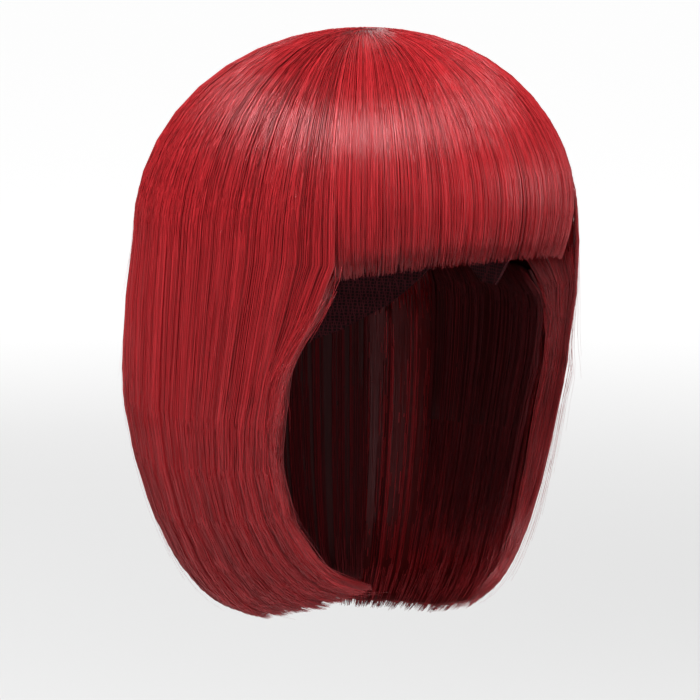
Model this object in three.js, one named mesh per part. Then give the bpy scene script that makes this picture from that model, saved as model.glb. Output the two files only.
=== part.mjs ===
// A bob wig with a full blunt fringe, in the form it has when worn. Millimetres, +Z up, the face opening
// towards -Y, the wearer's left towards +X. The origin is the inside of the cap's crown, on top of the
// head. Angles are measured round the head from the middle of the face, positive towards the wearer's
// left.
import * as THREE from 'three';

// Head that the cap is cut for
const HEAD_HALF_BREADTH = 76;
const HEAD_FRONT = 90;
const HEAD_BACK = 97;
const HEAD_DOME_DROP = 86;

// Cap
const CAP_WALL = 1.5;
const CAP_NARROWING = 11;
const CAP_NARROWING_DROP = 70;
const CAP_ROWS = 8;
const CAP_COLUMNS = 40;

// Hair over the cap, measured from the face it seats on
const SEAT_GAP = 0.8;
const CROWN_DEPTH = 13.7;
const SIDE_DEPTH = 25.7;
const FRONT_DEPTH = 23.7;
const BACK_DEPTH = 9;
const FRONT_FULLNESS = 2.25;
const BACK_FULLNESS = 2;

// Crown whorl and the partings between sections
const WHORL_FORWARD = 8;
const WHORL_RADIUS = 12;
const WHORL_TWIST = 50;
const WHORL_RIDGES = 9;
const WHORL_RELIEF = 0.6;
const WHORL_ROWS = [0, 0.4, 0.75, 1];
const PARTING_GAP = 0.8;

// Rows of a section over the cap, from the whorl to the widest level, which is a quarter turn down
const WIDEST_TURN = 90;
const DOME_STEPS = 7;

// Hanging hair
const HANG_LENGTH = 68;
const HANG_THICKNESS = 13;
const THINNING_LENGTH = 36;
const SIDE_SWELL = 1.5;
const BACK_SWELL = 8.5;
const HANG_ROWS = [0.2, 0.45, 0.7, 1];

// The curl that turns the ends in under the jaw
const CURL_DROP = 119;
const CURL_END_TURN = 84;
const CURL_TURNS = [18, 36, 54, 70, CURL_END_TURN];
const TIP_THICKNESS = 3.2;
const NECK_AXIS_BACK = 15;
const LEFT_HEM_DROP = 13;
const LEFT_HEM_FULL_DROP_OUT = 0.8;

// Fringe
const FRINGE_HALF_ANGLE = 45;
const FRINGE_LENGTH = 86;
const FRINGE_CORNER_DROP = 7;
const FRINGE_TUCK = 8;
const FRINGE_END_THICKNESS = 7;
const FRINGE_SEATED_STEPS = 6;
const FRINGE_FREE_ROWS = [0.35, 0.7, 1];
const FRINGE_POINT_SHARE = 0.3;

// Side sections
const SIDE_END_ANGLE = 128;
const FRONT_EDGE_RETREAT = 14;
const FRONT_EDGE_RETREAT_SHARE = 0.9;
const FRONT_EDGE_SWAY = 8;
const FRONT_EDGE_SWAY_BEND = 0.7;
const FRONT_EDGE_FADE = 1.5;

// Inner layers, sewn low on the cap
const LAYER_GAP = 0.85;
const EAR_LAYER_THICKNESS = 4.5;
const EAR_LAYER_LIFT = 4;
const EAR_LAYER_LAST_ANGLE = 112;
const EAR_LAYER_RETREAT_SHARE = 1.15;
const EAR_LAYER_CURL_ROWS = 3;
const NAPE_LAYER_THICKNESS = 6;
const NAPE_LAYER_ROOT = 12;
const NAPE_LAYER_ROOT_ROWS = [0, 0.5, 1];
const NAPE_LAYER_CURL_TURNS = [22, 45, 68, WIDEST_TURN];
const NAPE_LAYER_FIRST_ANGLE = 134;
const NAPE_LAYER_CLEARANCE = 9;

// Locks: how far their ridges stand out, how far their points hang past the valleys between them, how
// late that length comes, and where a lock has its valley, its ridge and its shoulder
const LOCK_RELIEF_AT_CROWN = 0.4;
const LOCK_RELIEF_AT_TIPS = 2.8;
const LOCK_POINT = 6;
const LOCK_POINT_CHANGE = 4;
const LOCK_POINT_GROWTH = 4;
const LOCK_SECTION = [0, 1, 0.8];

// How deep the locks are cut on the way to the tips, as a share of the full change from crown to tips
const LOCK_CUT_AT_WIDEST = 0.4;
const LOCK_CUT_AT_CURL = 0.6;
const LOCK_CUT_AT_FRINGE_END = 0.8;

const FRINGE_LOCKS = 13;
const SIDE_LOCKS = 10;
const BACK_LOCKS = 13;
const EAR_LAYER_LOCKS = 6;
const NAPE_LAYER_LOCKS = 6;

const HAIR = { color: 0x9b1420, roughness: 0.38, metalness: 0 };
const INNER_HAIR = { color: 0x5c0c14, roughness: 0.45, metalness: 0 };
const CAP_NET = { color: 0x3a0a10, roughness: 0.85, metalness: 0 };

// The cap's lower edge round half the head: its drop below the crown as a share of the dome's drop.
const CAP_EDGE = [
  { angle: 0, drop: 0.66 },
  { angle: 35, drop: 0.72 },
  { angle: 55, drop: 0.95 },
  { angle: 70, drop: 1.3 },
  { angle: 84, drop: 1.3 },
  { angle: 98, drop: 1.1 },
  { angle: 125, drop: 1.48 },
  { angle: 150, drop: 1.7 },
  { angle: 180, drop: 1.74 },
];

// The hem round half the head: the curl's drop as a share of the longest, how far the tips go towards the
// line where the ends gather as a share of the way, how far forward that line lies as a share of the
// head's front, and how much of the way in is a straight slope and not an arc.
const HEM = [
  { angle: 45, drop: 0.76, travel: 0.67, gather: 0.63, slope: 0 },
  { angle: 66, drop: 0.86, travel: 0.6, gather: 0.44, slope: 0.1 },
  { angle: 90, drop: 0.94, travel: 0.54, gather: 0.08, slope: 0.3 },
  { angle: 128, drop: 0.96, travel: 0.56, gather: -0.1, slope: 0.36 },
  { angle: 180, drop: 1, travel: 0.54, gather: -0.167, slope: 0.36 },
];

// How full the hanging hair is on its way down to the curl.
const SWELL = [
  { down: 0, share: 0 },
  { down: 0.45, share: 0.7 },
  { down: 0.9, share: 1 },
  { down: 1, share: 1 },
];

const radians = THREE.MathUtils.degToRad;
const degrees = THREE.MathUtils.radToDeg;
const mix = THREE.MathUtils.lerp;
const smooth = (x) => THREE.MathUtils.smoothstep(x, 0, 1);
const spread = (first, last, steps) =>
  Array.from({ length: steps + 1 }, (_, i) => mix(first, last, i / steps));

// A column of a table at a place along its first column, in between its rows.
function read(table, along, place, column) {
  const next = table.findIndex((row) => row[along] >= place);
  if (next === 0) return table[0][column];
  if (next === -1) return table.at(-1)[column];
  const [a, b] = [table[next - 1], table[next]];
  return mix(a[column], b[column], (place - a[along]) / (b[along] - a[along]));
}

// How far back an angle looks: 0 at the face and the ears, 1 at the nape.
const backward = (angle) => Math.max(0, -Math.cos(radians(angle)));

// Distance from the axis to an ellipse with its own reach to the side, the front and the back.
function ellipse(angle, side, front, back) {
  const [s, c] = [Math.sin(radians(angle)), Math.cos(radians(angle))];
  return 1 / Math.hypot(s / side, c / (c > 0 ? front : back));
}

function polar(angle, radius, z) {
  return new THREE.Vector3(radius * Math.sin(radians(angle)), -radius * Math.cos(radians(angle)), z);
}

// The head, grown outwards by some amount. On domes, turn runs from 0 at the crown to 90 at the widest
// level.
function headRadius(angle, grow) {
  return ellipse(angle, HEAD_HALF_BREADTH + grow, HEAD_FRONT + grow, HEAD_BACK + grow);
}

function headDome(angle, turn, grow) {
  const height = (HEAD_DOME_DROP + grow) * Math.cos(radians(turn));
  return polar(angle, headRadius(angle, grow) * Math.sin(radians(turn)), height - HEAD_DOME_DROP);
}

function headBelow(angle, z, grow) {
  const down = (-HEAD_DOME_DROP - z) / CAP_NARROWING_DROP;
  return polar(angle, headRadius(angle, grow) - CAP_NARROWING * down * down, z);
}

const SEAT = CAP_WALL + SEAT_GAP;
const HAIR_TOP = SEAT + CROWN_DEPTH;

// The hair's outside at the widest level of the dome.
function hairRadius(angle) {
  return ellipse(
    angle,
    HEAD_HALF_BREADTH + SEAT + SIDE_DEPTH,
    HEAD_FRONT + SEAT + FRONT_DEPTH,
    HEAD_BACK + SEAT + BACK_DEPTH,
  );
}

// The hair's outside over the cap: a dome around the whorl, a little fuller than an ellipse at the front.
function hairDome(angle, turn) {
  const power = 2 / mix(FRONT_FULLNESS, BACK_FULLNESS, (1 - Math.cos(radians(angle))) / 2);
  const out = Math.sin(radians(turn)) ** power;
  const height = (HAIR_TOP + HEAD_DOME_DROP) * Math.max(0, Math.cos(radians(turn))) ** power;
  const point = polar(angle, hairRadius(angle) * out, height - HEAD_DOME_DROP);
  point.y -= WHORL_FORWARD * (1 - out);
  return point;
}

// The hair's outside while it hangs straight, from the widest level (down 0) to the start of the curl
// (down 1).
function hairHang(angle, down) {
  const swell = mix(SIDE_SWELL, BACK_SWELL, backward(angle)) * read(SWELL, 'down', down, 'share');
  return polar(angle, hairRadius(angle) + swell, -HEAD_DOME_DROP - HANG_LENGTH * down);
}

// Where the ends that started at an angle gather, on the wig's middle plane.
function gatherPoint(angle, z) {
  const share = read(HEM, 'angle', Math.abs(angle), 'gather');
  const reach = share > 0 ? HEAD_FRONT * share : (NECK_AXIS_BACK * share) / -HEM.at(-1).gather;
  return new THREE.Vector3(0, -reach, z);
}

// The curl: from the hanging hair in towards the gather point, partly as a straight slope and partly as
// an arc. Next to the face it sways back before it swings forward. extra lengthens the end of the lock.
function hairCurl(angle, merged, turn, extra) {
  const point = hairHang(merged, 1);
  const half = THREE.MathUtils.euclideanModulo(angle + 180, 360) - 180;
  const row = (column) => read(HEM, 'angle', Math.abs(half), column);
  const left = THREE.MathUtils.smoothstep(Math.sin(radians(angle)), 0, LEFT_HEM_FULL_DROP_OUT);
  const share = turn / CURL_END_TURN;
  const inwards = mix(1 - Math.cos(radians(turn)), turn / WIDEST_TURN, row('slope'));
  const drop = CURL_DROP * row('drop') + LEFT_HEM_DROP * left;
  point.lerp(gatherPoint(half, point.z), row('travel') * inwards);
  point.y += FRONT_EDGE_SWAY * frontShare(half) * Math.sin(Math.PI * share ** FRONT_EDGE_SWAY_BEND);
  point.z -= drop * Math.sin(radians(turn)) + extra * share ** LOCK_POINT_GROWTH;
  return point;
}

const WHORL_TURN = degrees(Math.asin(WHORL_RADIUS / (HEAD_HALF_BREADTH + SEAT + SIDE_DEPTH)));
const DOME_TURNS = spread(WHORL_TURN, WIDEST_TURN, DOME_STEPS);

// How much a place follows the face's edge of the side section: 1 at that edge, 0 at the section's back
// edge.
function frontShare(angle) {
  const across = (Math.abs(angle) - FRINGE_HALF_ANGLE) / (SIDE_END_ANGLE - FRINGE_HALF_ANGLE);
  return THREE.MathUtils.clamp(1 - across, 0, 1) ** FRONT_EDGE_FADE;
}

// How far an angle draws back from the face below the fringe.
const retreat = (angle, share) => Math.sign(angle) * FRONT_EDGE_RETREAT * share * frontShare(angle);

// A row of a column: the smooth outside point, the way in from it, how thick the hair is there, and how
// deep its locks are cut on the way from their relief at the crown to that at the tips.
function domeRow(angle, turn) {
  const point = hairDome(angle, turn);
  const toSeat = headDome(angle, turn, SEAT).sub(point);
  const thickness = toSeat.length();
  const cut = LOCK_CUT_AT_WIDEST * smooth(turn / WIDEST_TURN);
  return { point, thickness, inward: toSeat.normalize(), cut };
}

function hangRow(angle, down, retreatShare) {
  const merged = angle + retreat(angle, smooth(down / retreatShare));
  const overCap = hairRadius(merged) - headRadius(merged, SEAT);
  const thickness = mix(overCap, HANG_THICKNESS, smooth((down * HANG_LENGTH) / THINNING_LENGTH));
  const cut = mix(LOCK_CUT_AT_WIDEST, LOCK_CUT_AT_CURL, down);
  return { point: hairHang(merged, down), thickness, inward: polar(merged, -1, 0), cut };
}

function curlRow(angle, turn, retreatShare, extra) {
  const merged = angle + retreat(angle, smooth(1 / retreatShare));
  const point = hairCurl(angle, merged, turn, extra);
  const along = point.clone().sub(hairCurl(angle, merged, turn - 1, extra));
  const inward = new THREE.Vector3().crossVectors(polar(merged + 90, 1, 0), along).normalize();
  const share = turn / CURL_END_TURN;
  const thickness = mix(HANG_THICKNESS, TIP_THICKNESS, smooth(share));
  return { point, thickness, inward, cut: mix(LOCK_CUT_AT_CURL, 1, share) };
}

// The rows of a long column, from the whorl to the tip. extra lengthens its tip.
function longColumn(angle, extra, retreatShare = FRONT_EDGE_RETREAT_SHARE) {
  return [
    ...DOME_TURNS.map((turn) => domeRow(angle, turn)),
    ...HANG_ROWS.map((down) => hangRow(angle, down, retreatShare)),
    ...CURL_TURNS.map((turn) => curlRow(angle, turn, retreatShare, extra)),
  ];
}

// The rows of a fringe column: over the cap, then free of the brow, tucked in a little at the cut end.
function fringeColumn(angle, extra) {
  const corner = FRINGE_CORNER_DROP * (angle / FRINGE_HALF_ANGLE) ** 2;
  const end = -FRINGE_LENGTH - corner - extra * FRINGE_POINT_SHARE;
  const seated = DOME_TURNS.slice(0, FRINGE_SEATED_STEPS).map((turn) => domeRow(angle, turn));
  const top = seated.at(-1);
  const free = FRINGE_FREE_ROWS.map((down) => {
    const z = mix(top.point.z, end, down);
    const height = Math.max(0, (z + HEAD_DOME_DROP) / (HAIR_TOP + HEAD_DOME_DROP));
    const level = degrees(Math.acos(height));
    const point = hairDome(angle, level).setZ(z);
    const inward = point.clone().setZ(0).normalize().negate();
    point.addScaledVector(inward, FRINGE_TUCK * down ** 2);
    const thickness = mix(top.thickness, FRINGE_END_THICKNESS, smooth(down));
    return { point, thickness, inward, cut: mix(LOCK_CUT_AT_WIDEST, LOCK_CUT_AT_FRINGE_END, down) };
  });
  return [...seated, ...free];
}

// A closed solid between two grids of points. Each grid is a list of columns, and each column a list of
// rows. A ring closes on itself sideways. A pole joins the first rows of all columns in one point.
function shell(outsideGrid, insideGrid, { ring = false, pole = false } = {}) {
  const columns = outsideGrid.length;
  const lastRow = outsideGrid[0].length - 1;
  const points = [];
  const index = [];
  const add = (point) => points.push(point.x, point.y, point.z) / 3 - 1;
  const number = (grid) => {
    const shared = pole ? add(grid[0][0]) : null;
    return grid.map((column) => column.map((point, row) => (pole && row === 0 ? shared : add(point))));
  };
  const [outside, inside] = [number(outsideGrid), number(insideGrid)];
  const quad = (a, b, c, d) => {
    if (a !== b) index.push(a, b, c);
    if (c !== d) index.push(a, c, d);
  };
  for (let i = 0; i < (ring ? columns : columns - 1); i += 1) {
    const next = (i + 1) % columns;
    for (let j = 0; j < lastRow; j += 1) {
      quad(outside[i][j], outside[next][j], outside[next][j + 1], outside[i][j + 1]);
      quad(inside[i][j + 1], inside[next][j + 1], inside[next][j], inside[i][j]);
    }
    quad(outside[i][lastRow], outside[next][lastRow], inside[next][lastRow], inside[i][lastRow]);
    if (!pole) quad(inside[i][0], inside[next][0], outside[next][0], outside[i][0]);
  }
  for (let j = 0; j < (ring ? 0 : lastRow); j += 1) {
    const last = columns - 1;
    quad(inside[0][j], outside[0][j], outside[0][j + 1], inside[0][j + 1]);
    quad(inside[last][j], inside[last][j + 1], outside[last][j + 1], outside[last][j]);
  }
  const geometry = new THREE.BufferGeometry();
  geometry.setAttribute('position', new THREE.Float32BufferAttribute(points, 3));
  geometry.setIndex(encloses(points, index) ? index : index.reverse());
  geometry.computeVertexNormals();
  return geometry;
}

// True where the triangles face out of the volume that they close.
function encloses(points, index) {
  const at = (i) => new THREE.Vector3(points[3 * i], points[3 * i + 1], points[3 * i + 2]);
  let sum = 0;
  for (let i = 0; i < index.length; i += 3) {
    sum += at(index[i]).dot(at(index[i + 1]).cross(at(index[i + 2])));
  }
  return sum > 0;
}

// Moves a grid's first and last columns in by half a parting, level with the parting.
function openPartings(grid) {
  for (const [edge, neighbour] of [[grid[0], grid[1]], [grid.at(-1), grid.at(-2)]]) {
    edge.forEach((point, row) => {
      const inward = neighbour[row].clone().sub(point).setZ(0).normalize();
      point.addScaledVector(inward, PARTING_GAP / 2);
    });
  }
}

// How a lock differs from its neighbours, between -1 and 1.
const lockChange = (lock) => Math.sin(lock * 2.4) * Math.cos(lock * 0.9);

// A section of hair between two angles, cut into locks. Each lock is a ridge between two valleys, with
// its own length, and the inside stays smooth.
function hairSection(firstAngle, lastAngle, locks, columnRows) {
  const perLock = LOCK_SECTION.length;
  const outside = [];
  const inside = [];
  spread(firstAngle, lastAngle, locks * perLock).forEach((angle, i) => {
    const ridge = LOCK_SECTION[i % perLock];
    const length = ridge * (LOCK_POINT + LOCK_POINT_CHANGE * lockChange(Math.floor(i / perLock)));
    const rows = columnRows(angle, length - LOCK_POINT / 2);
    outside.push(rows.map(({ point, inward, cut }) => {
      const valley = mix(LOCK_RELIEF_AT_CROWN, LOCK_RELIEF_AT_TIPS, cut);
      return point.clone().addScaledVector(inward, valley * (1 - ridge));
    }));
    inside.push(rows.map(({ point, inward, thickness }) => point.clone().addScaledVector(inward, thickness)));
  });
  openPartings(outside);
  openPartings(inside);
  return shell(outside, inside);
}

function capEdge(angle) {
  return -HEAD_DOME_DROP * read(CAP_EDGE, 'angle', Math.abs(angle), 'drop');
}

// The cap: one elastic net dome, cut high over the face, lower at the ears and lowest at the nape.
function cap() {
  const rows = spread(0, 1, CAP_ROWS);
  const angles = spread(-180, 180, CAP_COLUMNS).slice(0, -1);
  const wall = (grow) => angles.map((angle) => {
    const edge = capEdge(angle);
    const onDome = edge > -HEAD_DOME_DROP;
    const domeTurn = onDome ? degrees(Math.acos(1 + edge / HEAD_DOME_DROP)) : WIDEST_TURN;
    const below = Math.max(0, -HEAD_DOME_DROP - edge);
    const arc = (HEAD_DOME_DROP * radians(domeTurn)) / (HEAD_DOME_DROP * radians(domeTurn) + below);
    return rows.map((row) => {
      if (row <= arc || below === 0) return headDome(angle, (domeTurn * row) / arc, grow);
      return headBelow(angle, -HEAD_DOME_DROP - (below * (row - arc)) / (1 - arc), grow);
    });
  });
  return shell(wall(CAP_WALL), wall(0), { ring: true, pole: true });
}

// The whorl where all sections start: a low button of hair, its ridges turned like a swirl.
function whorl() {
  const edgeTurn = WHORL_TURN * (1 - PARTING_GAP / WHORL_RADIUS);
  const perRidge = LOCK_SECTION.length;
  const outside = [];
  const inside = [];
  spread(-180, 180, WHORL_RIDGES * perRidge).slice(0, -1).forEach((angle, i) => {
    outside.push(WHORL_ROWS.map((row) => {
      const point = hairDome(angle + WHORL_TWIST * (1 - row), edgeTurn * row);
      point.z -= WHORL_RELIEF * Math.sin(Math.PI * row) * (1 - LOCK_SECTION[i % perRidge]);
      return point;
    }));
    inside.push(WHORL_ROWS.map((row) => headDome(angle + WHORL_TWIST * (1 - row), edgeTurn * row, SEAT)));
  });
  return shell(outside, inside, { ring: true, pole: true });
}

// Ear layer: short hair sewn to the cap's side edge. It lies against the inside of the side section,
// showing as a darker band along the face opening.
function earLayer(side) {
  const perLock = LOCK_SECTION.length;
  const firstRow = DOME_TURNS.length;
  const endRow = firstRow + HANG_ROWS.length + EAR_LAYER_CURL_ROWS;
  const outside = [];
  const inside = [];
  const angles = spread(side * FRINGE_HALF_ANGLE, side * EAR_LAYER_LAST_ANGLE, EAR_LAYER_LOCKS * perLock);
  angles.forEach((angle, i) => {
    const rows = longColumn(angle, -LOCK_POINT / 2, EAR_LAYER_RETREAT_SHARE).slice(firstRow, endRow);
    const ridge = LOCK_SECTION[i % perLock];
    const outer = rows.map(({ point, inward, thickness }, row) => {
      const share = row / rows.length;
      const step = thickness + LAYER_GAP + share * (1 - ridge + EAR_LAYER_LIFT * share);
      return point.clone().addScaledVector(inward, step);
    });
    outer.at(-1).z -= LOCK_POINT * ridge;
    outside.push(outer);
    inside.push(rows.map(({ inward }, row) => {
      const share = row / (rows.length - 1);
      const hung = outer[row].clone().addScaledVector(inward, mix(EAR_LAYER_THICKNESS, TIP_THICKNESS, share));
      if (row > 0) return hung;
      return headBelow(angle, hung.z, SEAT);
    }));
  });
  return shell(outside, inside);
}

// Nape layer: short hair sewn to the cap's nape edge. It hangs inside the back section and curls in above
// its ends.
function napeLayer() {
  const perLock = LOCK_SECTION.length;
  const outside = [];
  const inside = [];
  const angles = spread(NAPE_LAYER_FIRST_ANGLE, 360 - NAPE_LAYER_FIRST_ANGLE, NAPE_LAYER_LOCKS * perLock);
  angles.forEach((angle, i) => {
    const ridge = LOCK_SECTION[i % perLock];
    const edge = capEdge(angle > 180 ? angle - 360 : angle);
    const outer = [];
    const inner = [];
    for (const row of NAPE_LAYER_ROOT_ROWS) {
      const seat = headBelow(angle, edge + NAPE_LAYER_ROOT * (1 - row), SEAT);
      inner.push(seat);
      outer.push(seat.clone().add(polar(angle, mix(NAPE_LAYER_THICKNESS / 2, NAPE_LAYER_THICKNESS, row), 0)));
    }
    const from = outer.at(-1);
    const end = curlRow(angle, CURL_TURNS.at(-2), 1, -LOCK_POINT / 2);
    end.point.addScaledVector(end.inward, end.thickness + NAPE_LAYER_CLEARANCE - (LOCK_POINT / 2) * ridge);
    for (const turn of NAPE_LAYER_CURL_TURNS) {
      const [s, c] = [Math.sin(radians(turn)), Math.cos(radians(turn))];
      const radius = mix(Math.hypot(from.x, from.y), Math.hypot(end.point.x, end.point.y), 1 - c);
      const point = polar(angle, radius - (1 - ridge) * s, mix(from.z, end.point.z, s));
      const thickness = mix(NAPE_LAYER_THICKNESS, TIP_THICKNESS, turn / WIDEST_TURN);
      outer.push(point);
      inner.push(point.clone().add(polar(angle, -thickness * (c + s / 2), thickness * s)));
    }
    outside.push(outer);
    inside.push(inner);
  });
  return shell(outside, inside);
}

function piece(name, geometry, look) {
  const mesh = new THREE.Mesh(geometry, new THREE.MeshStandardMaterial(look));
  mesh.name = name;
  return mesh;
}

const wig = new THREE.Group();
wig.add(piece('wig_cap', cap(), CAP_NET));
wig.add(piece('crown_whorl', whorl(), HAIR));
const fringeShape = hairSection(-FRINGE_HALF_ANGLE, FRINGE_HALF_ANGLE, FRINGE_LOCKS, fringeColumn);
wig.add(piece('fringe', fringeShape, HAIR));
for (const [name, side] of [['right', -1], ['left', 1]]) {
  const hair = hairSection(side * FRINGE_HALF_ANGLE, side * SIDE_END_ANGLE, SIDE_LOCKS, longColumn);
  wig.add(piece(`side_hair_${name}`, hair, HAIR));
  wig.add(piece(`ear_layer_${name}`, earLayer(side), INNER_HAIR));
}
wig.add(piece('back_hair', hairSection(SIDE_END_ANGLE, 360 - SIDE_END_ANGLE, BACK_LOCKS, longColumn), HAIR));
wig.add(piece('nape_layer', napeLayer(), INNER_HAIR));

export default wig;
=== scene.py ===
import math

import bpy
import numpy as np
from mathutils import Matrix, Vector


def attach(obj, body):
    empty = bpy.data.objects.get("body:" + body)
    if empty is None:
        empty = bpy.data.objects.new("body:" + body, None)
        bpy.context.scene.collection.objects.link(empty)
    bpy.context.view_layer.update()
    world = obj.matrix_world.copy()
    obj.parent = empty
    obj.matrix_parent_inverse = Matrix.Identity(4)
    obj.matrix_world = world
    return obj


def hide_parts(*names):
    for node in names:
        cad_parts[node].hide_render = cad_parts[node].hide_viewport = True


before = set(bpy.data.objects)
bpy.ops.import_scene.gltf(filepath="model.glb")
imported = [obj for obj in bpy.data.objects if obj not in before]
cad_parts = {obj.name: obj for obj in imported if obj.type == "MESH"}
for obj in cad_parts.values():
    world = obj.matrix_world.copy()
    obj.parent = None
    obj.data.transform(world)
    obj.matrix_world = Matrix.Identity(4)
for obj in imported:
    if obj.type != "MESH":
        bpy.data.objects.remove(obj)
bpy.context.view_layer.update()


# The view: from the wig's right front, a little above its middle, and from far enough away to flatten it.
# The frame is moved down so that the wig sits a little high in it.
VIEW_AZIMUTH = -40
VIEW_ELEVATION = 8
VIEW_DISTANCE = 1.55
VIEW_WIDTH = 0.3382
VIEW_TARGET = Vector((0, 0, -0.1284))
FRAME_SHIFT = (-0.0029, -0.0343)

camera_data = bpy.data.cameras.new("camera")
camera_data.sensor_width = 36
camera_data.lens = 36 * VIEW_DISTANCE / VIEW_WIDTH
camera_data.shift_x, camera_data.shift_y = FRAME_SHIFT
camera_data.clip_end = 60
camera = bpy.data.objects.new("camera", camera_data)
bpy.context.scene.collection.objects.link(camera)
azimuth, elevation = math.radians(VIEW_AZIMUTH), math.radians(VIEW_ELEVATION)
towards_camera = Vector((
    math.sin(azimuth) * math.cos(elevation),
    -math.cos(azimuth) * math.cos(elevation),
    math.sin(elevation),
))
camera.location = VIEW_TARGET + VIEW_DISTANCE * towards_camera
camera.rotation_mode = "QUATERNION"
camera.rotation_quaternion = (-towards_camera).to_track_quat("-Z", "Y")
bpy.context.scene.camera = camera


# The cap: one dome of dark elastic net that the hair is machine-sewn to. The net is knitted in small open
# cells, and the sewn rows of hair run round it as raised bands.
NET_CELLS_PER_METRE = 620
WEFT_ROWS_PER_METRE = 26
NET_DARK = (0.012, 0.002, 0.003, 1)
NET_THREAD = (0.085, 0.010, 0.015, 1)


def new_finish(name, **shader_values):
    """A material with one Principled shader, whose own sockets hold these values."""
    finish = bpy.data.materials.new(name)
    finish.use_nodes = True
    shader = finish.node_tree.nodes["Principled BSDF"]
    for socket, value in shader_values.items():
        shader.inputs[socket.replace("_", " ")].default_value = value
    return finish, shader


def add_node(finish, kind, **settings):
    """A node in a material, with its sockets given by name and its own properties in lower case."""
    node = finish.node_tree.nodes.new(kind)
    for name, value in settings.items():
        if name[0].isupper():
            node.inputs[name.replace("_", " ")].default_value = value
        else:
            setattr(node, name, value)
    return node


def join_nodes(finish, *links):
    """Links pairs of an output and an input."""
    for output, socket in links:
        finish.node_tree.links.new(output, socket)


def add_ramp(finish, stops):
    """A colour ramp with stops of (place, colour)."""
    ramp = add_node(finish, "ShaderNodeValToRGB")
    while len(ramp.color_ramp.elements) < len(stops):
        ramp.color_ramp.elements.new(0.5)
    for element, (place, colour) in zip(ramp.color_ramp.elements, stops):
        element.position = place
        element.color = colour
    return ramp


cap_net, net_shader = new_finish("cap_net", Roughness=0.85, Specular_IOR_Level=0.2)
net_place = add_node(cap_net, "ShaderNodeTexCoord")
net_cells = add_node(
    cap_net, "ShaderNodeTexVoronoi", feature="DISTANCE_TO_EDGE", Scale=NET_CELLS_PER_METRE, Randomness=0.25
)
net_threads = add_ramp(cap_net, [(0.04, NET_THREAD), (0.16, NET_DARK)])
weft_bands = add_node(
    cap_net, "ShaderNodeTexWave", bands_direction="Z", Scale=WEFT_ROWS_PER_METRE, Distortion=1.2, Detail=2
)
weft_height = add_node(cap_net, "ShaderNodeMath", operation="MULTIPLY_ADD")
weft_height.inputs[1].default_value = -1.5
net_bump = add_node(cap_net, "ShaderNodeBump", Strength=0.6, Distance=0.0008)
join_nodes(
    cap_net,
    (net_place.outputs["Object"], net_cells.inputs["Vector"]),
    (net_place.outputs["Object"], weft_bands.inputs["Vector"]),
    (net_cells.outputs["Distance"], net_threads.inputs["Fac"]),
    (net_threads.outputs["Color"], net_shader.inputs["Base Color"]),
    (net_cells.outputs["Distance"], weft_height.inputs[0]),
    (weft_bands.outputs["Fac"], weft_height.inputs[2]),
    (weft_height.outputs["Value"], net_bump.inputs["Height"]),
    (net_bump.outputs["Normal"], net_shader.inputs["Normal"]),
)
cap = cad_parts["wig_cap"]
cap.data.shade_smooth()
cap.material_slots[0].link = "OBJECT"
cap.material_slots[0].material = cap_net


# The hair's outer form. All long hair lies over the cap from a whorl at the crown, hangs straight past
# its widest level, and is heat-set to curl in under the jaw. A strand's place is its angle round the head
# and its station: 0 at the crown, 1 at the widest level, 2 where the curl starts and 3 at the tips.
HEAD_HALF_BREADTH = 0.076
HEAD_FRONT = 0.090
HEAD_BACK = 0.097
HEAD_DOME_DROP = 0.086
SEAT = 0.0023
HAIR_TOP = 0.016
HAIR_SIDE = 0.104
HAIR_FRONT = 0.116
HAIR_BACK = 0.1083
FRONT_FULLNESS = 2.25
BACK_FULLNESS = 2
WHORL_FORWARD = 0.008
WHORL_TURN = 6.6
WHORL_TWIST = 50
HANG_LENGTH = 0.068
HANG_THICKNESS = 0.013
THINNING_LENGTH = 0.036
SIDE_SWELL = 0.0015
BACK_SWELL = 0.0085
CURL_DROP = 0.119
CURL_END_TURN = 84
CURL_EASE = 8
TIP_THICKNESS = 0.0032
NECK_AXIS_BACK = 0.015
LEFT_HEM_DROP = 0.013
FRINGE_HALF_ANGLE = 45
SIDE_END_ANGLE = 128
FRONT_EDGE_RETREAT = 14
FRONT_EDGE_SWAY = 0.008

# The hem round half the head: the curl's drop as a share of the longest, how far the tips go towards the
# line where the ends gather, how far forward that line lies as a share of the head's front, and how much
# of the way in is a straight slope and not an arc.
HEM = {
    "angle": (45, 66, 90, 128, 180),
    "drop": (0.76, 0.86, 0.94, 0.96, 1),
    "travel": (0.67, 0.6, 0.54, 0.56, 0.54),
    "gather": (0.63, 0.44, 0.08, -0.1, -0.167),
    "slope": (0, 0.1, 0.3, 0.36, 0.36),
}


def smooth(x):
    x = np.clip(x, 0, 1)
    return x * x * (3 - 2 * x)


def mix(a, b, share):
    return a + (b - a) * share


def polar(angle, radius, z):
    radius, z = radius + 0 * z, z + 0 * radius
    return np.stack([radius * np.sin(np.radians(angle)), -radius * np.cos(np.radians(angle)), z], -1)


def ellipse(angle, side, front, back):
    s, c = np.sin(np.radians(angle)), np.cos(np.radians(angle))
    return 1 / np.hypot(s / side, c / np.where(c > 0, front, back))


def head_radius(angle, grow=SEAT):
    return ellipse(angle, HEAD_HALF_BREADTH + grow, HEAD_FRONT + grow, HEAD_BACK + grow)


def hair_radius(angle):
    return ellipse(angle, HAIR_SIDE, HAIR_FRONT, HAIR_BACK)


def dome_power(angle):
    return 2 / mix(FRONT_FULLNESS, BACK_FULLNESS, (1 - np.cos(np.radians(angle))) / 2)


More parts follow.
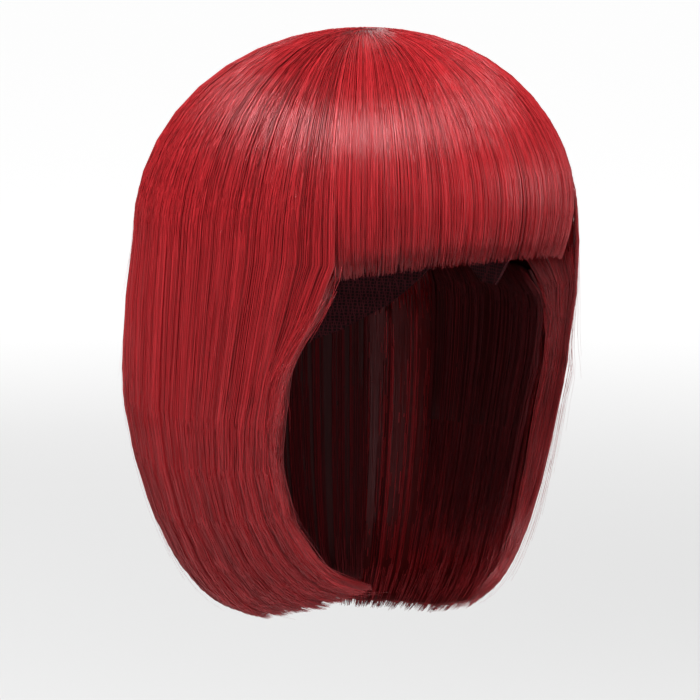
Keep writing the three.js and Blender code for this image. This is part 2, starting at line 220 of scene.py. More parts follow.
def hair_dome(angle, turn):
    """The outside over the cap. turn runs from 0 at the crown to 90 at the widest level."""
    power = dome_power(angle)
    out = np.sin(np.radians(turn)) ** power
    height = (HAIR_TOP + HEAD_DOME_DROP) * np.maximum(0, np.cos(np.radians(turn))) ** power
    swirl = WHORL_TWIST * np.clip(1 - turn / WHORL_TURN, 0, 1)
    point = polar(angle + swirl, hair_radius(angle) * out, height - HEAD_DOME_DROP)
    point[..., 1] -= WHORL_FORWARD * (1 - out)
    return point


def hair_hang(angle, down):
    """The outside while it hangs straight, down from 0 to 1."""
    backward = np.maximum(0, -np.cos(np.radians(angle)))
    swell = mix(SIDE_SWELL, BACK_SWELL, backward) * np.interp(down, (0, 0.45, 0.9), (0, 0.7, 1))
    return polar(angle, hair_radius(angle) + swell, -HEAD_DOME_DROP - HANG_LENGTH * down)


def front_share(half):
    """How much a place follows the edge at the face: 1 at that edge, 0 at the back of the side hair."""
    across = (np.abs(half) - FRINGE_HALF_ANGLE) / (SIDE_END_ANGLE - FRINGE_HALF_ANGLE)
    return np.clip(1 - across, 0, 1) ** 1.5


def hair_curl(half, merged, turn):
    """The outside where the ends turn in. The edge at the face sways back before it swings forward."""
    hem = {column: np.interp(np.abs(half), HEM["angle"], HEM[column]) for column in HEM}
    share = np.clip(turn / CURL_END_TURN, 0, 1.2)
    ahead = HEAD_FRONT * hem["gather"]
    behind = NECK_AXIS_BACK * hem["gather"] / -HEM["gather"][-1]
    gather = np.where(hem["gather"] > 0, ahead, behind)
    point = hair_hang(merged, np.ones_like(turn))
    eased = (np.hypot(turn, CURL_EASE) - CURL_EASE) / (math.hypot(CURL_END_TURN, CURL_EASE) - CURL_EASE)
    straight = eased * CURL_END_TURN / 90
    inwards = hem["travel"] * mix(1 - np.cos(np.radians(turn)), straight, hem["slope"])
    left = smooth(np.sin(np.radians(half)) / 0.8)
    point[..., 0] *= 1 - inwards
    point[..., 1] += (-gather - point[..., 1]) * inwards
    point[..., 1] += FRONT_EDGE_SWAY * front_share(half) * np.sin(np.pi * np.minimum(1, share) ** 0.7)
    point[..., 2] -= (CURL_DROP * hem["drop"] + LEFT_HEM_DROP * left) * np.sin(np.radians(turn))
    return point


def long_hair(angle, station):
    """The outside of the long hair, from the crown to the tips."""
    half = (angle + 180) % 360 - 180
    down = np.clip(station - 1, 0, 1)
    off_edge = smooth((np.abs(half) - FRINGE_HALF_ANGLE) / 12)
    drawn_back = mix(smooth(down / 0.9), smooth((station - 0.3) / 2.3), off_edge)
    merged = half + np.sign(half) * FRONT_EDGE_RETREAT * front_share(half) * drawn_back
    over = hair_dome(merged, 90 * np.clip(station, 0.004, 1))
    hanging = hair_hang(merged, down)
    curled = hair_curl(half, merged, CURL_END_TURN * np.maximum(0, station - 2))
    below = np.where((station > 2)[..., None], curled, hanging)
    return np.where((station > 1)[..., None], below, over)


def long_thickness(angle, station):
    """How thick the long hair is."""
    dome_turn = np.radians(90 * np.clip(station, 0, 1))
    across = (hair_radius(angle) - head_radius(angle)) * np.sin(dome_turn) ** 2
    on_cap = across + (HAIR_TOP - SEAT) * np.cos(dome_turn) ** 2
    hanging = mix(on_cap, HANG_THICKNESS, smooth((station - 1) * HANG_LENGTH / THINNING_LENGTH))
    return mix(hanging, TIP_THICKNESS, smooth(station - 2))


def under(form, angle, station, depth):
    """Points at some depth under the outside of a form, and the way in from it."""
    along = form(angle, station + 0.01) - form(angle, station - 0.01)
    across = form(angle + 0.5, station) - form(angle - 0.5, station)
    inward = np.cross(across, along)
    inward /= np.linalg.norm(inward, axis=-1, keepdims=True)
    return form(angle, station) + inward * depth[..., None], inward


# The hair itself: glossy synthetic fibre, dyed a deep red through and through. Fibres cling together in strands
# about half a millimetre wide, and strands in locks. Each strand has its own shade at random, with painted
# shade that darkens the strands lying deeper, and lies over a padding of the same hair whose surface is combed
# in fine lines.
FIBRE_SHADES = [
    (0.0, (0.020, 0.001, 0.001, 1)),
    (0.35, (0.130, 0.003, 0.004, 1)),
    (0.6, (0.240, 0.006, 0.009, 1)),
    (1.0, (0.420, 0.026, 0.031, 1)),
]
STRAND_FLATNESS = 0.6
LINES_PER_METRE = 1500


def hair_finish(name, shades, **shader_values):
    """A material of combed hair. It takes its shade from a strand's tone and from fine lines along the hair."""
    finish, shader = new_finish(name, **shader_values)
    tone = add_node(finish, "ShaderNodeAttribute", attribute_name="tone")
    combed = add_node(finish, "ShaderNodeAttribute", attribute_name="combed")
    lines = add_node(finish, "ShaderNodeTexNoise", Scale=1, Detail=3, Roughness=0.7)
    line_shade = add_node(
        finish, "ShaderNodeMapRange", From_Min=0.3, From_Max=0.7, To_Min=-0.09, To_Max=0.09
    )
    shade = add_node(finish, "ShaderNodeMath", operation="ADD", use_clamp=True)
    ramp = add_ramp(finish, shades)
    bump = add_node(finish, "ShaderNodeBump", Strength=0.5, Distance=0.0006)
    join_nodes(
        finish,
        (combed.outputs["Vector"], lines.inputs["Vector"]),
        (lines.outputs["Fac"], line_shade.inputs["Value"]),
        (tone.outputs["Fac"], shade.inputs[0]),
        (line_shade.outputs["Result"], shade.inputs[1]),
        (shade.outputs["Value"], ramp.inputs["Fac"]),
        (ramp.outputs["Color"], shader.inputs["Base Color"]),
        (lines.outputs["Fac"], bump.inputs["Height"]),
        (bump.outputs["Normal"], shader.inputs["Normal"]),
    )
    return finish


hair = hair_finish(
    "hair", FIBRE_SHADES, Roughness=0.32, Specular_IOR_Level=0.42, Specular_Tint=(1, 0.6, 0.63, 1)
)


def make_piece(name, parts, finish, replaced=()):
    """One object out of parts of (vertices, faces, tone, combed), riding on the wig."""
    vertices = np.concatenate([part[0].reshape(-1, 3) for part in parts])
    starts = np.cumsum([0] + [part[0].size // 3 for part in parts[:-1]])
    corners = []
    sizes = []
    for part, start in zip(parts, starts):
        for faces in part[1]:
            corners.append((faces + start).ravel())
            sizes.append(np.full(len(faces), faces.shape[1]))
    corners = np.concatenate(corners).astype(np.int32)
    sizes = np.concatenate(sizes)
    first_corners = np.concatenate([[0], np.cumsum(sizes)[:-1]]).astype(np.int32)
    mesh = bpy.data.meshes.new(name)
    mesh.vertices.add(len(vertices))
    mesh.vertices.foreach_set("co", vertices.astype(np.float32).ravel())
    mesh.loops.add(len(corners))
    mesh.loops.foreach_set("vertex_index", corners)
    mesh.polygons.add(len(sizes))
    mesh.polygons.foreach_set("loop_start", first_corners)
    mesh.update(calc_edges=True)
    mesh.shade_smooth()
    tone = np.concatenate([part[2].ravel() for part in parts]).astype(np.float32)
    mesh.attributes.new("tone", "FLOAT", "POINT").data.foreach_set("value", tone)
    combed = np.concatenate([part[3].reshape(-1, 3) for part in parts]).astype(np.float32)
    mesh.attributes.new("combed", "FLOAT_VECTOR", "POINT").data.foreach_set("vector", combed.ravel())
    mesh.materials.append(finish)
    piece = bpy.data.objects.new(name, mesh)
    bpy.context.scene.collection.objects.link(piece)
    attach(piece, "root")
    if replaced:
        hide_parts(*replaced)
    return piece


def padding(form, angles, stations, top_depth, bottom_depth, tone):
    """A closed wall of hair between two depths, with painted shade on its inner face. The depths and the tone
    are functions of angle and station.
    """
    angle, station = np.meshgrid(angles, stations, indexing="ij")
    outside, _ = under(form, angle, station, top_depth(angle, station))
    inside, _ = under(form, angle, station, bottom_depth(angle, station))
    columns, rows = angle.shape
    out = np.arange(columns * rows).reshape(columns, rows)
    back = out + columns * rows
    faces = [
        np.stack([out[:-1, :-1], out[:-1, 1:], out[1:, 1:], out[1:, :-1]], -1).reshape(-1, 4),
        np.stack([back[:-1, :-1], back[1:, :-1], back[1:, 1:], back[:-1, 1:]], -1).reshape(-1, 4),
        np.stack([out[:-1, 0], out[1:, 0], back[1:, 0], back[:-1, 0]], -1),
        np.stack([out[:-1, -1], back[:-1, -1], back[1:, -1], out[1:, -1]], -1),
        np.stack([out[0, :-1], back[0, :-1], back[0, 1:], out[0, 1:]], -1),
        np.stack([out[-1, :-1], out[-1, 1:], back[-1, 1:], back[-1, :-1]], -1),
    ]
    shade = tone(angle, station)
    across = np.radians(angle) * hair_radius(angle) * LINES_PER_METRE
    combed = np.stack([across, station * 2.5, np.zeros_like(across)], -1)
    far = combed + np.array([0, 0, 40])
    # The inner face takes a quarter of the outer tone: painted shade inside the hair.
    return np.stack([outside, inside]), faces, np.stack([shade, shade * 0.25]), np.stack([combed, far])


def strands(form, angle, station, depth, half_width, tone):
    """Closed three-sided strands under a form. All arrays have a row for each strand and a column for each
    point along it."""
    points, inward = under(form, angle, station, depth)
    along = np.gradient(points, axis=1)
    along /= np.linalg.norm(along, axis=-1, keepdims=True)
    across = np.cross(along, inward)
    across /= np.linalg.norm(across, axis=-1, keepdims=True)
    outward = np.cross(along, across)
    corners = []
    for turn in np.radians((90, 210, 330)):
        offset = np.cos(turn) * across + STRAND_FLATNESS * np.sin(turn) * outward
        corners.append(points + half_width[..., None] * offset)
    count, steps = angle.shape
    number = np.arange(count * steps * 3).reshape(count, steps, 3)
    faces = [number[:, 0, ::-1], number[:, -1, :]]
    for side in range(3):
        other = (side + 1) % 3
        a, b = number[:, :-1, side], number[:, :-1, other]
        c, d = number[:, 1:, other], number[:, 1:, side]
        faces.append(np.stack([a, b, c, d], -1).reshape(-1, 4))
    shade = np.repeat(tone[..., None], 3, -1)
    own = np.repeat(np.arange(count)[:, None], steps, 1) * 7.3
    combed = np.repeat(np.stack([own, station * 2, own * 0], -1)[:, :, None, :], 3, 2)
    return np.stack(corners, 2), faces, shade, combed


def course(first, last, over, below=(), bend=1):
    """Stations along each strand, from its own first to its own last: even steps over the dome, then these
    stations below it, where what lies past the bend is stretched to the strand's last station. With no stations
    below, the steps are even all the way."""
    share = np.linspace(0, 1, over + 1)[None, :]
    if not below:
        return first[:, None] + (last - first)[:, None] * share
    end = 3 if bend == 2 else 2
    below = np.repeat(np.array(below, float)[None, :], len(first), 0)
    stretched = bend + (below - bend) * ((last - bend) / (end - bend))[:, None]
    over_dome = first[:, None] + (1 - first)[:, None] * share
    return np.hstack([over_dome, np.where(below > bend, stretched, below)])


def pull_together(angle, station, centres, start, strength):
    """Draws each strand towards the nearest centre as it goes down, so that strands close up into locks."""
    nearest = centres[np.abs(angle[:, :1] - centres[None, :]).argmin(1)]
    pull = strength * smooth((station - start) / (3 - start))
    return angle + (nearest[:, None] - angle) * pull, nearest


# Long hair is laid in two ways: strands that start in the whorl and can be followed to their tips, and
# shorter ones sewn lower on the cap, which come up from under the others. Both end a few millimetres
# apart.
STRAND_HALF_WIDTH = 0.00024
TOP_DEPTH = 0.0017
RISE = 0.22
CLUMP_DEGREES = 0.9
CLUMP_PULL = 0.4
LOCK_PULL = 0.1
SURFACE_DEPTH = 0.0003
ROOT_DEPTH = 0.003
# How much darker the deepest strands are painted: painted shade between the layers of hair.
DEPTH_PAINTED_SHADE = 0.12
TIP_SHARE = 0.07
SPILL = 0.7
LOCK_DEGREES = 8.3
LOCK_RELIEF = 0.0022
LONG_BELOW = (1.35, 1.7, 1.92, 2.08, 2.25, 2.42, 2.58, 2.73, 2.87, 3)
LOWER_BELOW = (1.4, 1.8, 2.04, 2.22, 2.42, 2.62, 2.82, 3)
WHORL_COURSE = {"over": 9, "below": LONG_BELOW, "bend": 2}
LOWER_COURSE = {"over": 5, "below": LOWER_BELOW, "bend": 2}
EVEN_COURSE = {"over": 7}


def lay_strands(draw, form, first, last, count, starts, ends, steps, depth_of, painted_light_shift=0.0):
    """Strands spread between two angles, drawn together into clumps and locks, and shifted as a set darker or
    lighter as painted shade or painted light.
    """
    low, high = min(first, last), max(first, last)
    angle = draw.uniform(low - SPILL, high + SPILL, count)
    start = draw.uniform(*starts, count)
    end = draw.uniform(*ends, count)
    station = course(start, end, **steps)
    share = (station - start[:, None]) / (end - start)[:, None]
    clumps = np.arange(low, high, CLUMP_DEGREES)
    clumps = clumps + draw.uniform(-0.5, 0.5, len(clumps)) * CLUMP_DEGREES
    locks = np.arange(low + LOCK_DEGREES / 2, max(high, low + LOCK_DEGREES), LOCK_DEGREES)
    wander = draw.uniform(0, 2 * np.pi, (3, len(clumps)))
    clump_shade = draw.normal(0, 1, len(clumps))
    clump = np.abs(angle[:, None] - clumps[None, :]).argmin(1)
    spread_angle = np.repeat(angle[:, None], station.shape[1], 1)
    placed, _ = pull_together(spread_angle, station, clumps, 0.3, CLUMP_PULL)
    placed, lock = pull_together(placed, station, locks, 0.9, LOCK_PULL)
    phase = wander[:, clump][:, :, None]
    drift = np.sin(1.9 * station + phase[0]) + 0.5 * np.sin(4.3 * station + phase[1])
    own = draw.uniform(0, 2 * np.pi, (count, 1))
    cross = draw.normal(0, 0.18, (count, 1)) * np.sin(1.1 * station + own)
    placed = placed + 0.1 * drift * smooth(station) + cross * smooth(station / 0.8)
    layer = draw.uniform(0, 1, (count, 1))
    rise = 1 - smooth((station - start[:, None]) / RISE) * (start[:, None] > 0.12) - (start[:, None] <= 0.12)
    off_lock = np.abs(angle - lock) / (LOCK_DEGREES / 2)
    groove = LOCK_RELIEF * np.minimum(1, off_lock)[:, None] ** 2 * smooth((station - 0.6) / 2.4)
    groove = groove * (1 - 0.5 * smooth((station - 2.5) / 0.5))
    depth = depth_of(placed, station, layer) + groove + 0.0002 * np.sin(2.1 * station + phase[2])
    depth = depth + rise * ROOT_DEPTH
    taper = smooth((1.02 - share) / TIP_SHARE) * 0.85 + 0.15
    root = 0.55 + 0.45 * smooth((station - 0.02) / 0.3)
    half_width = STRAND_HALF_WIDTH * draw.uniform(0.6, 1.35, (count, 1)) * taper * root
    # A whole set of strands can be shifted darker or lighter: painted shade on strands lying inside the hair,
    # painted light on the left inner strands.
    tone = 0.52 + 0.04 * clump_shade[clump][:, None] + draw.normal(0, 0.08, (count, 1)) + painted_light_shift
    # Strands that lie deeper are painted darker: painted shade between the layers of hair.
    tone = tone - DEPTH_PAINTED_SHADE * layer + np.zeros_like(station)
    return strands(form, placed, station, depth, half_width, np.clip(tone, 0, 1))


def outer_depth(angle, station, layer):
    return SURFACE_DEPTH + TOP_DEPTH * layer * mix(1, 0.6, smooth(station - 2))


def edge_depth(angle, station, layer):
    return SURFACE_DEPTH + (long_thickness(angle, station) - 0.0008) * layer


def inner_depth(angle, station, layer):
    return long_thickness(angle, station) - 0.0004 - 0.002 * layer


def groove_of(angle, first):
    """How far an angle lies from the middle of its lock: 0 at the middle, 1 in the valley."""
    return np.abs(((angle - first) / LOCK_DEGREES) % 1 - 0.5) * 2


def long_padding(first, last, tone):
    """The padding of a long section. It stays back from the edges at the face, which strands alone make."""
    columns = int(abs(last - first) * 1.5) + 1
    stations = np.concatenate([np.linspace(0.074, 1, 16), np.linspace(1.15, 2, 6), np.linspace(2.1, 2.96, 10)])

    def top(angle, station):
        valley = groove_of(angle, min(first, last)) ** 2 * smooth((station - 0.6) / 2.4) * LOCK_RELIEF
        return np.minimum(0.0028, 0.55 * long_thickness(angle, station)) + valley * smooth(3.4 - station)

    def bottom(angle, station):
        return np.maximum(long_thickness(angle, station), top(angle, station) + 0.0006)

    low, high = min(first, last), max(first, last)
    low += 1.6 if low == FRINGE_HALF_ANGLE else 0.1
    high -= 1.6 if high == -FRINGE_HALF_ANGLE else 0.1
    angles = np.linspace(low, high, columns)
    return padding(long_hair, angles, stations, top, bottom, lambda angle, station: 0 * station + tone)


# Nape layer: short hair sewn to the cap's edge at the nape. It hangs inside the back hair and curls in
# above its ends, so that the neck doesn't show through.
NAPE_FIRST_ANGLE = 134
NAPE_EDGE = {"angle": (125, 150, 180), "drop": (1.48, 1.7, 1.74)}
# Hair inside the wig is painted darker than the outer hair and given less gloss: painted shade where a head
# would shade it.
INNER_PAINTED_SHADE_COLOURS = [
    (0.0, (0.014, 0.001, 0.001, 1)),
    (0.5, (0.075, 0.003, 0.005, 1)),
    (1.0, (0.230, 0.010, 0.013, 1)),
]
inner_hair = hair_finish("inner_hair", INNER_PAINTED_SHADE_COLOURS, Roughness=0.5, Specular_IOR_Level=0.12)


def nape_hair(angle, station):
    """The outside of the nape layer: station 0 to 1 on the cap, 1 to 2 hanging and curling in."""
    half = np.abs((angle + 180) % 360 - 180)
    edge = -HEAD_DOME_DROP * np.interp(half, NAPE_EDGE["angle"], NAPE_EDGE["drop"])
    on_cap = np.clip(station, 0, 1)
    z = edge + 0.012 * (1 - on_cap)
    narrowing = 0.011 * ((-HEAD_DOME_DROP - z) / 0.070) ** 2
    radius = head_radius(angle) - narrowing + 0.006 * mix(0.5, 1, on_cap)
    tip = long_hair(angle, np.full_like(station, 2.83))
    turn = np.radians(90 * np.clip(station - 1, 0, 1.1))
    tip_radius = np.hypot(tip[..., 0], tip[..., 1]) - 0.013
    lower = mix(z, tip[..., 2] + 0.004, np.sin(turn))
    return polar(angle, mix(radius, tip_radius, 1 - np.cos(turn)), lower)


draw = np.random.default_rng(11)
nape_angles = (NAPE_FIRST_ANGLE + 1, 359 - NAPE_FIRST_ANGLE)
nape_padding = padding(
    nape_hair,
    np.linspace(*nape_angles, 60),
    np.linspace(0.02, 1.9, 24),
    lambda angle, station: 0.001 + 0 * station,
    lambda angle, station: mix(0.005, 0.0028, station / 2),
    lambda angle, station: 0 * station + 0.3,
)
nape_strands = lay_strands(
    draw, nape_hair, *nape_angles, 420, (0, 0.1), (1.85, 2.04), EVEN_COURSE,
    lambda angle, station, layer: 0.0002 + 0.0012 * layer,
)
nape_inside = lay_strands(
    draw, nape_hair, *nape_angles, 300, (0, 0.1), (1.85, 2.04), EVEN_COURSE,
    lambda angle, station, layer: mix(0.0052, 0.003, station / 2) - 0.0006 * layer,
)
make_piece(
    "nape_layer_hair", [nape_padding, nape_strands, nape_inside], inner_hair, ["nape_layer"]
)


# Ear layers: short hair sewn to the cap's edge in front of and over the ears. It lies against the inside of the
# side hair and shows as a band along the face opening. It is painted darker than the side hair: painted shade
# from lying inside it.
EAR_LAST_ANGLE = 112
EAR_LIFT = 0.004


def ear_depth(angle, station, layer):
    share = np.clip((station - 1.2) / 1.5, 0, 1)
    return long_thickness(angle, station) + 0.0014 + EAR_LIFT * share ** 2 + 0.0028 * layer


for side_name, side in (("right", -1), ("left", 1)):
    draw = np.random.default_rng(20 + side)
    ear_first, ear_last = side * (FRINGE_HALF_ANGLE + 1), side * (EAR_LAST_ANGLE - 1)
    ear_strands = lay_strands(
        draw, long_hair, ear_first, ear_last, 550, (1.18, 1.3), (2.15, 2.72), EVEN_COURSE, ear_depth
    )
    ear_padding = padding(
        long_hair,
        np.linspace(min(ear_first, ear_last), max(ear_first, ear_last), 50),
        np.linspace(1.2, 2.2, 12),
        lambda angle, station: ear_depth(angle, station, 0) + 0.0008,
        lambda angle, station: ear_depth(angle, station, 1) - 0.0004,
        lambda angle, station: 0 * station + 0.3,
    )
    make_piece(
        f"ear_layer_{side_name}_hair", [ear_padding, ear_strands], inner_hair,
        [f"ear_layer_{side_name}"],
    )


# Back hair: the widest section, from behind one ear to behind the other. It swells out a little below the
# back of the head and turns in over the neck.
draw = np.random.default_rng(31)
back_angles = (SIDE_END_ANGLE, 360 - SIDE_END_ANGLE)
back_parts = [
    long_padding(*back_angles, 0.38),
    lay_strands(draw, long_hair, *back_angles, 460, (0.03, 0.1), (2.92, 3.03), WHORL_COURSE, outer_depth),
    lay_strands(draw, long_hair, *back_angles, 850, (0.15, 0.85), (2.9, 3.03), LOWER_COURSE, outer_depth),
]
make_piece("back_hair_strands", back_parts, hair, ["back_hair"])
# The back hair's inner strands are painted a little darker: painted shade inside the hair.
back_inside = lay_strands(
    draw, long_hair, *back_angles, 520, (1.2, 1.6), (2.85, 3.0), EVEN_COURSE, inner_depth, -0.1
)
make_piece("back_hair_inner_strands", [back_inside], inner_hair)


# Side hair: one section over each ear, from the fringe to the back hair. Its edge at the face hangs free,
# sways back past the cheek and swings forward into a point under the jaw. Its inner strands lap behind
# the back hair.
INSIDE_OVERLAP = 14
SIDE_COUNTS = {
    # The inside strands are painted darker on the right as painted shade, and lighter on the left as painted
    # light.
    "right": {"whorl": 600, "lower": 1100, "more": 800, "inside": 420, "edge": 380, "inside_painted_light": -0.22},
    "left": {"whorl": 420, "lower": 840, "more": 0, "inside": 700, "edge": 560, "inside_painted_light": 0.12},
}
for side_name, side in (("right", -1), ("left", 1)):
    draw = np.random.default_rng(40 + side)
    counts = SIDE_COUNTS[side_name]
    angles = (side * FRINGE_HALF_ANGLE, side * SIDE_END_ANGLE)
    side_parts = [
        long_padding(*angles, 0.38),
        lay_strands(
            draw, long_hair, *angles, counts["whorl"], (0.03, 0.1), (2.88, 3.04), WHORL_COURSE, outer_depth
        ),
        lay_strands(
            draw, long_hair, *angles, counts["lower"], (0.15, 0.85), (2.88, 3.04), LOWER_COURSE, outer_depth
        ),
    ]
    make_piece(f"side_hair_{side_name}_strands", side_parts, hair, [f"side_hair_{side_name}"])
    inside_angles = (side * FRINGE_HALF_ANGLE, side * (SIDE_END_ANGLE + INSIDE_OVERLAP))
    side_inside = lay_strands(
        draw, long_hair, *inside_angles, counts["inside"], (1.2, 1.6), (2.85, 3.02), EVEN_COURSE, inner_depth,
        counts["inside_painted_light"]
    )
    make_piece(f"side_hair_{side_name}_inner_strands", [side_inside], hair)
    edge_parts = [
        lay_strands(
            draw, long_hair, side * (FRINGE_HALF_ANGLE + SPILL), side * (FRINGE_HALF_ANGLE + 3), counts["edge"],
            (1.0, 1.1), (2.88, 3.04), EVEN_COURSE, edge_depth, -0.05
        ),
    ]
    if counts["more"]:
        edge_parts.append(lay_strands(
            draw, long_hair, *angles, counts["more"], (0.15, 0.85), (2.86, 3.04), LOWER_COURSE, outer_depth
        ))
    make_piece(f"side_hair_{side_name}_edge_strands", edge_parts, hair)


# Fringe: hair combed forward from the whorl over the brow and cut straight across it, a little lower at the
# temples. Its ends are thinned to fine points.
FRINGE_LENGTH = 0.086
FRINGE_CORNER_DROP = 0.007
FRINGE_TUCK = 0.008
FRINGE_LEAVES_CAP = 66.2
FRINGE_END_THICKNESS = 0.007
FRINGE_COURSE = {"over": 7, "below": (1.2, 1.4, 1.6, 1.8, 2), "bend": 1}


def fringe_hair(angle, station):
    """The outside of the fringe: station 0 to 1 over the cap, 1 to 2 free of the brow down to the cut."""
    over = hair_dome(angle, FRINGE_LEAVES_CAP * np.clip(station, 0.03, 1))
    leave = hair_dome(angle, np.full_like(station, FRINGE_LEAVES_CAP))[..., 2]
    end = -FRINGE_LENGTH - FRINGE_CORNER_DROP * (angle / FRINGE_HALF_ANGLE) ** 2
    down = np.maximum(0, station - 1)
    z = mix(leave, end, down)
    height = np.clip((z + HEAD_DOME_DROP) / (HAIR_TOP + HEAD_DOME_DROP), 0, 1)
    level = np.degrees(np.arccos(height ** (1 / dome_power(angle))))
    free = hair_dome(angle, level)
    radius = np.hypot(free[..., 0], free[..., 1]) - FRINGE_TUCK * down ** 2
    heading = np.degrees(np.arctan2(free[..., 0], -free[..., 1]))
    free = polar(heading, radius, z)
    return np.where((station > 1)[..., None], free, over)


def fringe_thickness(angle, station):
    turn = np.radians(FRINGE_LEAVES_CAP * np.clip(station, 0, 1))
    across = (hair_radius(angle) - head_radius(angle)) * np.sin(turn) ** 2
    on_cap = across + (HAIR_TOP - SEAT) * np.cos(turn) ** 2
    return mix(on_cap, FRINGE_END_THICKNESS, smooth(station - 1))


draw = np.random.default_rng(51)
fringe_angles = (-FRINGE_HALF_ANGLE, FRINGE_HALF_ANGLE)
fringe_padding = padding(
    fringe_hair,
    np.linspace(-FRINGE_HALF_ANGLE + 0.3, FRINGE_HALF_ANGLE - 0.3, 130),
    np.concatenate([np.linspace(0.1, 1, 14), np.linspace(1.1, 1.9, 9)]),
    lambda angle, station: 0.0026 + 0 * station,
    fringe_thickness,
    lambda angle, station: 0 * station + 0.38,
)
fringe_parts = [
    fringe_padding,
    lay_strands(
        draw, fringe_hair, *fringe_angles, 1000, (0.04, 0.12), (1.93, 2.05), FRINGE_COURSE, outer_depth
    ),
    lay_strands(
        draw, fringe_hair, *fringe_angles, 1200, (0.2, 0.9), (1.92, 2.05), FRINGE_COURSE, outer_depth
    ),
]
make_piece("fringe_strands", fringe_parts, hair, ["fringe"])
fringe_more = [
    lay_strands(
        draw, fringe_hair, *fringe_angles, 650, (0.2, 0.9), (1.9, 2.06), FRINGE_COURSE, outer_depth
    ),
    # Strands under the fringe's ends, painted darker: painted shade under the fringe.
    lay_strands(
        draw, fringe_hair, *fringe_angles, 350, (1.0, 1.2), (1.9, 2.03), EVEN_COURSE,
        lambda angle, station, layer: fringe_thickness(angle, station) - 0.0003 - 0.0025 * layer, -0.2
    ),
]
make_piece("fringe_inner_strands", fringe_more, hair)


# Crown whorl: the point where all sections start. Its short hair turns like a swirl and dives in between
# the first strands of each section.
draw = np.random.default_rng(61)
whorl_padding = padding(
    long_hair,
    np.linspace(-180, 180, 73),
    np.linspace(0.004, 0.07, 7),
    lambda angle, station: 0.0016 + 0 * station,
    lambda angle, station: HAIR_TOP - SEAT - 0.0004 + 0 * station,
    lambda angle, station: 0 * station + 0.35,
)
whorl_strands = lay_strands(
    draw, long_hair, -180, 180, 620, (0.005, 0.045), (0.14, 0.3), EVEN_COURSE,
    lambda angle, station, layer: 0.0004 + 0.0012 * layer + 0.002 * smooth((station - 0.1) / 0.2),
)
make_piece("crown_whorl_strands", [whorl_padding, whorl_strands], hair, ["crown_whorl"])


# Loose hairs: single fibres that have come away from the locks, along the edges at the face, past the
# front tips and all over the outside.
LOOSE_HALF_WIDTH = 0.00009
LOOSE_STEPS = 8
LOOSE_GROUPS = [
    {"count": 34, "angles": (-46, -42.5), "starts": (0.95, 2.3), "lengths": (0.4, 0.9), "lift": 0.004},
    {"count": 16, "angles": (-52, -44.5), "starts": (2.5, 2.75), "lengths": (0.35, 0.45), "lift": 0.003},
    {"count": 26, "angles": (43, 47), "starts": (0.95, 2.3), "lengths": (0.4, 0.9), "lift": 0.004},
    {"count": 110, "angles": (52, 308), "starts": (0.6, 2.3), "lengths": (0.4, 0.8), "lift": 0.0035},
]

draw = np.random.default_rng(71)
loose_parts = []
for group in LOOSE_GROUPS:
    count = group["count"]
    share = np.linspace(0, 1, LOOSE_STEPS + 1)[None, :]
    station = draw.uniform(*group["starts"], (count, 1)) + draw.uniform(*group["lengths"], (count, 1)) * share
    lean = draw.normal(0, 2.4, (count, 1)) * share ** 2
    wave = 0.6 * np.sin(4 * share + draw.uniform(0, 2 * np.pi, (count, 1)))
    placed = draw.uniform(*group["angles"], (count, 1)) + lean + wave
    depth = 0.0008 - group["lift"] * draw.uniform(0.4, 1, (count, 1)) * share ** 1.4
    half_width = LOOSE_HALF_WIDTH * (1 - 0.5 * share ** 2) * np.ones((count, 1))
    shade = np.clip(draw.normal(0.62, 0.1, (count, 1)), 0, 1) + 0 * share
    loose_parts.append(strands(long_hair, placed, np.minimum(station, 3.12), depth, half_width, shade))
make_piece("loose_strands", loose_parts, hair)


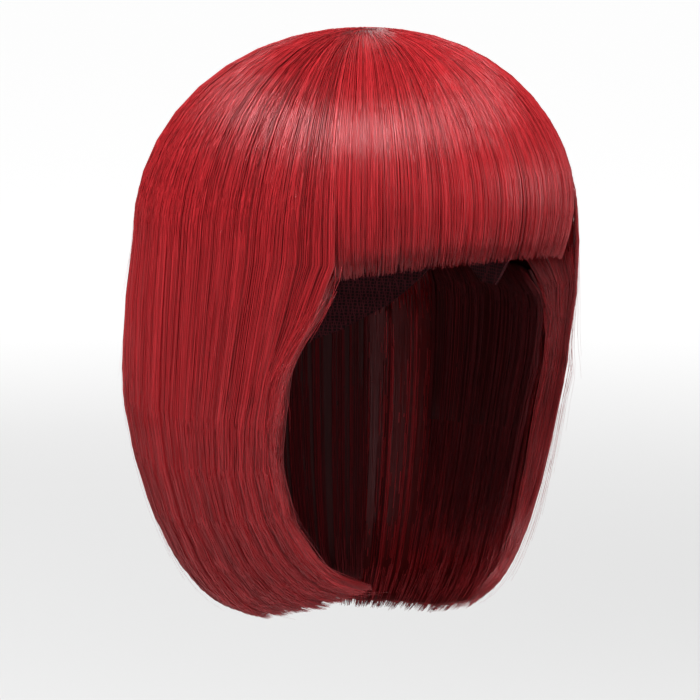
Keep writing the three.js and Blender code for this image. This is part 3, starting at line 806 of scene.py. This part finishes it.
# The studio: a wide pale floor well below the wig, one large soft light over and a little in front of the wig,
# and weaker ones beside that, from the front, from the side and from behind. The floor glows more the further
# it lies from the wig: painted light that whitens the far floor.
FLOOR_HEIGHT = -0.62
FLOOR_RADIUS = 26
LIGHTS = {
    "overhead": {"at": (-0.60, -0.50, 1.18), "size": 0.7, "watts": 50},
    "overhead_right": {"at": (-0.86, 0.14, 1.09), "size": 0.6, "watts": 16},
    "front": {"at": (-1.5, -1.9, 0.5), "size": 1.4, "watts": 10},
    "side": {"at": (1.3, -1.7, 0.35), "size": 1.2, "watts": 34},
    "back": {"at": (0.4, 1.8, 0.7), "size": 1.2, "watts": 7},
}

floor_mesh = bpy.data.meshes.new("floor")
rim = [
    (FLOOR_RADIUS * math.cos(math.radians(turn)), FLOOR_RADIUS * math.sin(math.radians(turn)), FLOOR_HEIGHT)
    for turn in range(0, 360, 5)
]
floor_mesh.from_pydata(rim, [], [list(range(len(rim)))])
floor = bpy.data.objects.new("floor", floor_mesh)
bpy.context.scene.collection.objects.link(floor)
floor_finish, floor_shader = new_finish(
    "floor", Base_Color=(0.6, 0.6, 0.6, 1), Roughness=0.9, Emission_Color=(1, 1, 1, 1)
)
floor_place = add_node(floor_finish, "ShaderNodeTexCoord")
floor_distance = add_node(floor_finish, "ShaderNodeVectorMath", operation="LENGTH")
# Painted light: the floor's glow grows with distance from the wig.
floor_painted_glow = add_node(
    floor_finish, "ShaderNodeMapRange", interpolation_type="SMOOTHSTEP",
    From_Min=0.6, From_Max=4, To_Min=0, To_Max=0.78
)
join_nodes(
    floor_finish,
    (floor_place.outputs["Object"], floor_distance.inputs[0]),
    (floor_distance.outputs["Value"], floor_painted_glow.inputs["Value"]),
    (floor_painted_glow.outputs["Result"], floor_shader.inputs["Emission Strength"]),
)
floor_mesh.materials.append(floor_finish)

for light_name, values in LIGHTS.items():
    light_data = bpy.data.lights.new(light_name, "AREA")
    light_data.shape = "DISK"
    light_data.size = values["size"]
    light_data.energy = values["watts"]
    light = bpy.data.objects.new(light_name, light_data)
    light.location = values["at"]
    light.rotation_mode = "QUATERNION"
    light.rotation_quaternion = (VIEW_TARGET - light.location).to_track_quat("-Z", "Y")
    bpy.context.scene.collection.objects.link(light)

world = bpy.data.worlds.new("studio")
world.use_nodes = True
world.node_tree.nodes["Background"].inputs["Color"].default_value = (1, 1, 1, 1)
world.node_tree.nodes["Background"].inputs["Strength"].default_value = 0.32
bpy.context.scene.world = world
bpy.context.scene.view_settings.view_transform = "Standard"
